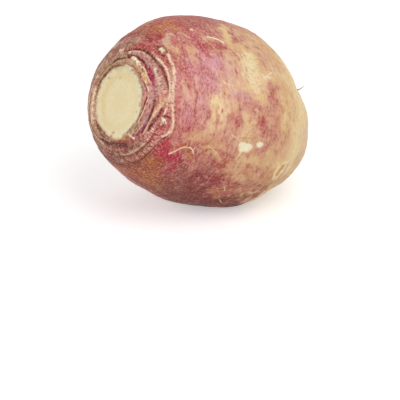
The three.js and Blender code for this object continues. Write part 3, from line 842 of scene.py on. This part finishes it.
def paintFlesh(colour, ring, turn, lathe):
    broad, fine = (pattern(lathe, size, octaves) for size, octaves in zip(cutFlesh["waves"], (3, 2)))
    flesh = np.tile(paintColours["flesh"], (len(ring), 1))
    middle, width, wave = cutFlesh["yellowRing"]
    onRing = np.exp(-(((ring + wave * broad - middle) / width) ** 2))
    middle, reach = cutFlesh["yellowTurns"]
    least, more = cutFlesh["yellowShare"]
    lay(flesh, "fleshCore", onRing * (least + more * np.exp(-((wrapped(turn - middle) / reach) ** 2))))
    for paint, strength, rings, wave in cutFlesh["layers"]:
        lay(flesh, paint, strength * smooth(*rings, ring + wave * broad))
    broadWave, fineWave = cutFlesh["rimWaves"]
    rim = smooth(*cutFlesh["rim"], ring + broadWave * broad + fineWave * fine)
    least, more = cutFlesh["rimShare"]
    onSide = smooth(*cutFlesh["rimTurns"], abs(turn - cutFlesh["rimMiddle"]))
    lay(flesh, "moss", rim * (least + more * onSide))
    edgeRing = np.interp(wrapped(turn), *zip(*cutFlesh["edge"]))
    broadWave, fineWave = cutFlesh["edgeWaves"]
    edge = smooth(*cutFlesh["softEdge"], ring - edgeRing + broadWave * broad + fineWave * fine)
    colour += (flesh - colour) * edge[:, None]
    return edge


# finer faces where the thin marks lie
def divideMarks(bm):
    station, turn, radius, _ = measured(bm)
    station[radius < marks["endRadius"]] = 100
    near = np.zeros(len(station), bool)
    for _, halfWidth, _, *path in marks["lines"] + marks["chips"]:
        near |= lineDistance(pairs(path), station, turn, radius) < halfWidth + marks["reach"]
    bm.verts.ensure_lookup_table()
    edges = [edge for edge in bm.edges if all(near[vert.index] for vert in edge.verts)]
    bmesh.ops.subdivide_edges(bm, edges=edges, cuts=marks["cuts"], use_grid_fill=True)


# station, turn and radius of every point before the root is bent, and the points themselves
def measured(bm):
    lathe = np.array([vert.co for vert in bm.verts])
    turn = np.degrees(np.arctan2(lathe[:, 1], lathe[:, 0]))
    return lathe[:, 2].copy(), turn, np.hypot(lathe[:, 0], lathe[:, 1]), lathe


def moveTo(bm, places):
    for vert, spot in zip(bm.verts, places):
        vert.co = spot


def finished(bm, name):
    for face in bm.faces:
        face.smooth = True
    mesh = bpy.data.meshes.new(name)
    bm.to_mesh(mesh)
    bm.free()
    made = bpy.data.objects.new(name, mesh)
    bpy.context.scene.collection.objects.link(made)
    return made


# the colour, the height and the marks that the material reads, for every point
def paintRoot(station, turn, ring, lathe):
    colour = np.tile(paintColours["rose"], (len(ring), 1))
    height, dash, lined, flesh = np.zeros((4, len(ring)))
    paintSkin(colour, station, turn, ring, lathe)
    paintMarks(colour, station, turn, ring, lathe, height)
    speckle = speckleOf(colour)
    print("skin painted")

    crown = (station > 0) & (ring < body["scarEdge"] + scars["reach"])
    crownColour = colour[crown]
    crownHeight, dash[crown], lined[crown], flesh[crown] = growScars(
        crownColour, np.maximum(ring[crown], 1), turn[crown], lathe[crown]
    )
    height[crown] += crownHeight
    colour[crown] = crownColour
    stubCut = station < body["stubEnd"][1] + body["rowGap"]
    colour[stubCut] = paintColours["fleshCore"]
    for paint, strength, rings, wave, size in stubLayers:
        lay(colour, paint, strength * stubCut * smooth(*rings, ring + wave * pattern(lathe, size)))
    fibre = smooth(*scars["fibreEdge"], ring) * (station > 0) * (1 - flesh)
    strengthWave, heightWave = scars["fibreWaves"]
    unlined = 1 - (1 - scars["fibreLeft"]) * lined
    fibre *= unlined * (scars["fibreBase"] + pattern(lathe + apart["fibre"], strengthWave, 2))
    print("leaf scars cut")

    uncut = 1 - np.maximum(flesh, stubCut)
    for size, rise in body["lumps"]:
        height += rise * uncut * pattern(lathe + apart["lump"], size, 2)
    height += scars["fibreHeight"] * fibre * pattern(lathe + apart["thread"], heightWave, 3)
    return colour, height, {"speckle": speckle * uncut, "fibre": fibre, "dash": dash, "flesh": flesh}


def buildSkin():
    bm = spunOutline()
    bm.verts.index_update()
    divideMarks(bm)
    station, turn, ring, lathe = measured(bm)
    inCrown = (station > 0) & (ring < body["scarEdge"] + body["mergeGap"])
    place = np.where(inCrown[:, None], crownPlace(ring, turn), skinPlace(station, ring, turn))
    moveTo(bm, place)
    bm.normal_update()  # the move above mirrors the mesh
    bmesh.ops.recalc_face_normals(bm, faces=bm.faces)
    bm.normal_update()
    outwards = np.array([vert.normal for vert in bm.verts])
    low, high = place.min(axis=0), place.max(axis=0)
    print("root grown,", len(bm.verts), "points")

    colour, height, painted = paintRoot(station, turn, ring, lathe)
    cadLow, cadHigh = (np.array(corner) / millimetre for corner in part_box("rutabaga"))
    shift = (cadLow + cadHigh - low - high) / 2
    shift[2] = cadHigh[2] - high[2]
    place += outwards * height[:, None] + shift
    place[:, 2] = np.maximum(place[:, 2], cadLow[2])  # the small flat that it rests on
    moveTo(bm, place * millimetre)

    skin = finished(bm, "rutabagaSkin")
    attributes = skin.data.attributes
    rgba = np.column_stack((colour.clip(0, 1), np.ones(len(ring))))
    attributes.new("skinColour", "FLOAT_COLOR", "POINT").data.foreach_set("color", rgba.ravel())
    for name, values in painted.items():
        attributes.new(name, "FLOAT", "POINT").data.foreach_set("value", values.astype(np.float32))
    angle = np.radians(turn)
    scarWay = np.column_stack((np.cos(angle), np.sin(angle), ring / scars["ringStep"]))
    way = attributes.new("scarWay", "FLOAT_VECTOR", "POINT")
    way.data.foreach_set("vector", scarWay.astype(np.float32).ravel())
    print("skin mesh done,", len(skin.data.polygons), "faces")
    return skin, shift * millimetre, (station, turn, place * millimetre, outwards)


skin, axisMiddle, skinPoints = buildSkin()


# Materials

class Shade:
    def __init__(self, name):
        self.material = bpy.data.materials.new(name)
        self.material.use_nodes = True
        self.tree = self.material.node_tree
        self.shader = self.tree.nodes["Principled BSDF"]

    def plug(self, socket, value):
        if isinstance(value, bpy.types.NodeSocket):
            self.tree.links.new(value, socket)
        else:
            socket.default_value = value

    def node(self, kind, **settings):
        made = self.tree.nodes.new(kind)
        for name, value in settings.items():
            setattr(made, name, value)
        return made

    def mark(self, name, output="Fac"):
        return self.node("ShaderNodeAttribute", attribute_name=name).outputs[output]

    # a pattern space turned to the growth axis, with features of the given size in millimetres
    def space(self, size):
        mapping = self.node("ShaderNodeMapping", vector_type="TEXTURE")
        self.plug(mapping.inputs["Vector"], self.node("ShaderNodeTexCoord").outputs["Object"])
        mapping.inputs["Location"].default_value = axisMiddle
        mapping.inputs["Rotation"].default_value = (0, lift - math.pi / 2, 0)
        mapping.inputs["Scale"].default_value = [side * millimetre for side in size]
        return mapping.outputs["Vector"]

    def scarSpace(self, scale):
        mapping = self.node("ShaderNodeMapping")
        self.plug(mapping.inputs["Vector"], self.mark("scarWay", "Vector"))
        mapping.inputs["Scale"].default_value = scale
        return mapping.outputs["Vector"]

    def noise(self, vector, detail=2, roughness=0.5, distortion=0):
        made = self.node("ShaderNodeTexNoise")
        self.plug(made.inputs["Vector"], vector)
        for name, value in (
            ("Scale", 1), ("Detail", detail), ("Roughness", roughness), ("Distortion", distortion)
        ):
            made.inputs[name].default_value = value
        return made.outputs["Fac"]

    def ramp(self, value, low, high, start=0, end=1):
        made = self.node("ShaderNodeMapRange", interpolation_type="SMOOTHSTEP")
        for name, amount in (
            ("Value", value), ("From Min", low), ("From Max", high), ("To Min", start), ("To Max", end)
        ):
            self.plug(made.inputs[name], amount)
        return made.outputs["Result"]

    def maths(self, operation, first, second=0.0):
        made = self.node("ShaderNodeMath", operation=operation)
        self.plug(made.inputs[0], first)
        self.plug(made.inputs[1], second)
        return made.outputs[0]

    # the node has sockets of the same names for numbers, vectors and colours, so they go by place
    def mix(self, under, over, amount, blend="MIX"):
        made = self.node("ShaderNodeMix", data_type="RGBA", blend_type=blend)
        for socket, value in ((0, amount), (6, under), (7, over)):
            self.plug(made.inputs[socket], value)
        return made.outputs[2]


# Look of the skin over its painted colour
skinLook = {
    "roughness": (0.3, 0.7, 0.46, 0.62),  # (start, full) of the small texture, and what they give
    "specular": 0.25,
    "bump": 0.5,
    "bumpHeight": 0.3,
    "relief": [("streak", 0.8), ("grain", 1), ("dot", 0.4)],
    "fibreRelief": 2,
    "gap": (0.6, 0.38, 0.34, 1),
}
skinLook["textures"] = {  # (kind of space, size or scale, detail, roughness)
    "small": ("root", (3, 3, 2), 4, 0.7),
    "streak": ("root", (3.8, 3.8, 0.8), 3, 0.65),
    "grain": ("root", (1.8, 1.8, 1.1), 2, 0.6),
    "dot": ("root", (1.8, 1.8, 0.9), 3, 0.65),
    "radial": ("scar", (36, 36, 14), 3, 0.7),
    "threads": ("scar", (80, 80, 26), 1, 0.5),
}
skinLook["layers"] = [  # (paint, mark, texture, start, full, strength, blend)
    # fine growth lines and flecks all over the skin; the pale flecks are partly the waxy bloom and partly
    # painted highlights, small glints
    ("deep", "speckle", "grain", 0.55, 0.36, 1, "MULTIPLY"),
    ("gap", "speckle", "streak", 0.48, 0.3, 0.8, "MULTIPLY"),
    ("fleckAndGlint", "speckle", "dot", 0.5, 0.68, 0.42, "MIX"),
    ("shade", "speckle", "dot", 0.46, 0.3, 0.7, "MIX"),
    # fibres of the leaf scars, which point outwards
    ("gap", "fibre", "radial", 0.5, 0.34, 1, "MULTIPLY"),
    ("gap", "fibre", "threads", 0.46, 0.3, 1, "MULTIPLY"),
    ("fleckAndGlint", "fibre", "threads", 0.54, 0.7, 0.6, "MIX"),
    ("cork", "dash", "radial", 0.48, 0.58, 1, "MIX"),
    # the cut flesh
    ("fleshCore", "flesh", "small", 0.5, 0.7, 0.6, "MIX"),
    ("moss", "flesh", "small", 0.4, 0.22, 0.4, "MIX"),
    ("moss", "flesh", "threads", 0.44, 0.3, 0.25, "MIX"),
    ("cork", "flesh", "threads", 0.5, 0.66, 0.5, "MIX"),
]


def skinMaterial():
    s = Shade("rutabagaSkin")
    colours = {name: (*paintColours[name], 1) for name in ("fleckAndGlint", "shade", "cork", "fleshCore", "moss")}
    colours["deep"] = (*blotches["darken"], 1)
    colours["gap"] = skinLook["gap"]
    spaces = {"root": s.space, "scar": s.scarSpace}
    textures = {}
    for name, (kind, size, detail, roughness) in skinLook["textures"].items():
        textures[name] = s.noise(spaces[kind](size), detail, roughness)
    where = {name: s.mark(name) for name in ("speckle", "fibre", "dash", "flesh")}

    base = s.mark("skinColour", "Color")
    for paint, name, texture, start, full, strength, blend in skinLook["layers"]:
        amount = s.maths("MULTIPLY", where[name], s.ramp(textures[texture], start, full, 0, strength))
        base = s.mix(base, colours[paint], amount, blend)
    s.plug(s.shader.inputs["Base Color"], base)
    s.plug(s.shader.inputs["Roughness"], s.ramp(textures["small"], *skinLook["roughness"]))
    s.shader.inputs["Specular IOR Level"].default_value = skinLook["specular"]

    fibreRelief = s.maths("MULTIPLY", textures["radial"], skinLook["fibreRelief"])
    relief = s.maths("MULTIPLY", where["fibre"], fibreRelief)
    for texture, strength in skinLook["relief"]:
        relief = s.maths("ADD", relief, s.maths("MULTIPLY", textures[texture], strength))
    bump = s.node("ShaderNodeBump")
    bump.inputs["Strength"].default_value = skinLook["bump"]
    bump.inputs["Distance"].default_value = skinLook["bumpHeight"] * millimetre
    s.plug(bump.inputs["Height"], relief)
    s.plug(s.shader.inputs["Normal"], bump.outputs["Normal"])
    return s.material


skin.data.materials.append(skinMaterial())
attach(skin, "root")
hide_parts("rutabaga")
print("skin material done")


# Thin rootlets that stick out near the root end
rootlets = {
    "seed": 5,
    "shown": (-43.5, 42),  # (station, turn) of the one that stands clear of the outline
    "count": 5,  # others, on the side that faces away
    "stations": (-52, -38),
    "turns": (195, 330),
    "length": (3.0, 4.6),
    "radius": 0.4,
    "taper": 0.86,
    "bend": 16,  # degrees in a step
    "steps": 6,
    "sides": 7,
    "sunk": 0.4,
    "grainSize": 0.5,
    "grainEdge": (0.35, 0.65),
    "roughness": 0.7,
    "specular": 0.25,
}


def growRootlet(bm, foot, way, length, pick):
    sunk = rootlets["sunk"] * millimetre
    radius = rootlets["radius"] * millimetre
    standing = Matrix.Translation(foot - way * sunk) @ way.to_track_quat("Z", "Y").to_matrix().to_4x4()
    circle = bmesh.ops.create_circle(
        bm, cap_ends=True, segments=rootlets["sides"], radius=radius, matrix=standing
    )
    tip = circle["verts"][0].link_faces[0]
    step = (length * millimetre + sunk) / rootlets["steps"]
    thinner = Matrix.Scale(rootlets["taper"], 4)
    for grownSteps in range(rootlets["steps"]):
        grown = bmesh.ops.extrude_face_region(bm, geom=[tip])["geom"]
        if grownSteps:
            bm.faces.remove(tip)  # the extrude leaves it inside, and only the first one closes the foot
        tip = next(part for part in grown if isinstance(part, bmesh.types.BMFace))
        ends = [part for part in grown if isinstance(part, bmesh.types.BMVert)]
        bmesh.ops.translate(bm, verts=ends, vec=way * step)
        middle = tip.calc_center_median()
        turns = [math.radians(pick.uniform(-1, 1) * rootlets["bend"]) for _ in range(3)]
        bend = Euler(turns).to_matrix()
        way = bend @ way
        there, back = Matrix.Translation(middle), Matrix.Translation(-middle)
        bmesh.ops.transform(bm, matrix=there @ bend.to_4x4() @ thinner @ back, verts=ends)


def buildRootlets():
    station, turn, place, outwards = skinPoints
    pick = random.Random(rootlets["seed"])
    spots = [rootlets["shown"]]
    for _ in range(rootlets["count"]):
        spots.append((pick.uniform(*rootlets["stations"]), pick.uniform(*rootlets["turns"])))
    bm = bmesh.new()
    for spotStation, spotTurn in spots:
        nearest = np.argmin(np.hypot(station - spotStation, wrapped(turn - spotTurn)))
        foot, way = Vector(place[nearest]), Vector(outwards[nearest])
        growRootlet(bm, foot, way, pick.uniform(*rootlets["length"]), pick)
    bmesh.ops.recalc_face_normals(bm, faces=bm.faces)
    return finished(bm, "rutabagaRootlets")


def rootletMaterial():
    s = Shade("rootletBark")
    dark, light = (*paintColours["scorch"], 1), (*paintColours["bark"], 1)
    grain = s.noise(s.space([rootlets["grainSize"]] * 3))
    s.plug(s.shader.inputs["Base Color"], s.mix(dark, light, s.ramp(grain, *rootlets["grainEdge"])))
    s.shader.inputs["Roughness"].default_value = rootlets["roughness"]
    s.shader.inputs["Specular IOR Level"].default_value = rootlets["specular"]
    return s.material


rootletPiece = buildRootlets()
rootletPiece.data.materials.append(rootletMaterial())
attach(rootletPiece, "root")
print("rootlets done")

studio = {
    "floorSize": 4,
    "floorColour": (0.86, 0.86, 0.86, 1),
    "floorRoughness": 0.9,
    "floorLift": (0.42, 0.7),  # light that only the camera sees, so that the lit floor shows white
    "liftReach": (0.25, 0.6),  # metres from the root over which the floor gets the second amount
    "skyLight": 0.45,
    "lampAim": (0, 0, 0.05),
    "lamps": [  # (azimuth, height angle, distance, size, watts)
        (-5, 50, 0.9, 0.6, 3.2),
        (-85, 28, 1.0, 0.7, 2.4),
        (120, 40, 1.1, 0.7, 1.0),
    ],
}


def wayFrom(azimuth, elevation):
    a, e = math.radians(azimuth), math.radians(elevation)
    return Vector((math.sin(a) * math.cos(e), -math.cos(a) * math.cos(e), math.sin(e)))


def seenOutright(tree):
    path = tree.nodes.new("ShaderNodeLightPath")
    either = tree.nodes.new("ShaderNodeMath")
    either.operation = "MAXIMUM"
    tree.links.new(path.outputs["Is Camera Ray"], either.inputs[0])
    tree.links.new(path.outputs["Is Glossy Ray"], either.inputs[1])
    return either.outputs[0]


def buildStudio():
    world = bpy.data.worlds.new("studio")
    bpy.context.scene.world = world
    world.use_nodes = True
    tree = world.node_tree
    sky = tree.nodes["Background"]
    sky.inputs["Color"].default_value = (1, 1, 1, 1)
    strength = tree.nodes.new("ShaderNodeMapRange")
    tree.links.new(seenOutright(tree), strength.inputs["Value"])
    strength.inputs["To Min"].default_value = studio["skyLight"]
    tree.links.new(strength.outputs["Result"], sky.inputs["Strength"])

    bm = bmesh.new()
    bmesh.ops.create_grid(bm, x_segments=1, y_segments=1, size=studio["floorSize"] / 2)
    floor = finished(bm, "floor")
    s = Shade("floor")
    s.shader.inputs["Base Color"].default_value = studio["floorColour"]
    s.shader.inputs["Roughness"].default_value = studio["floorRoughness"]
    s.shader.inputs["Specular IOR Level"].default_value = 0
    s.shader.inputs["Emission Color"].default_value = (1, 1, 1, 1)
    nearness = s.node("ShaderNodeTexGradient", gradient_type="SPHERICAL")
    s.plug(nearness.inputs["Vector"], s.node("ShaderNodeTexCoord").outputs["Object"])
    near, far = studio["liftReach"]
    glow = s.ramp(nearness.outputs["Fac"], 1 - near, 1 - far, *studio["floorLift"])
    s.plug(s.shader.inputs["Emission Strength"], s.maths("MULTIPLY", seenOutright(s.tree), glow))
    floor.data.materials.append(s.material)

    for azimuth, height, distance, size, watts in studio["lamps"]:
        light = bpy.data.lights.new("softLamp", "AREA")
        light.shape = "DISK"
        light.size = size
        light.energy = watts
        lamp = bpy.data.objects.new("softLamp", light)
        way = wayFrom(azimuth, height)
        lamp.location = Vector(studio["lampAim"]) + way * distance
        lamp.rotation_euler = way.to_track_quat("Z", "Y").to_euler()
        bpy.context.scene.collection.objects.link(lamp)


buildStudio()

view = {
    "azimuth": -35.4,
    "elevation": 24,
    "distance": 1.0,
    "aim": (-0.0131, -0.0147, 0.0101),
    "lens": 150.25,
}

camera = bpy.data.objects.new("camera", bpy.data.cameras.new("camera"))
camera.data.lens = view["lens"]
towardsCamera = wayFrom(view["azimuth"], view["elevation"])
camera.location = Vector(view["aim"]) + towardsCamera * view["distance"]
camera.rotation_euler = towardsCamera.to_track_quat("Z", "Y").to_euler()
bpy.context.scene.collection.objects.link(camera)
bpy.context.scene.camera = camera
bpy.context.scene.view_settings.view_transform = "Standard"
print("studio and camera done")
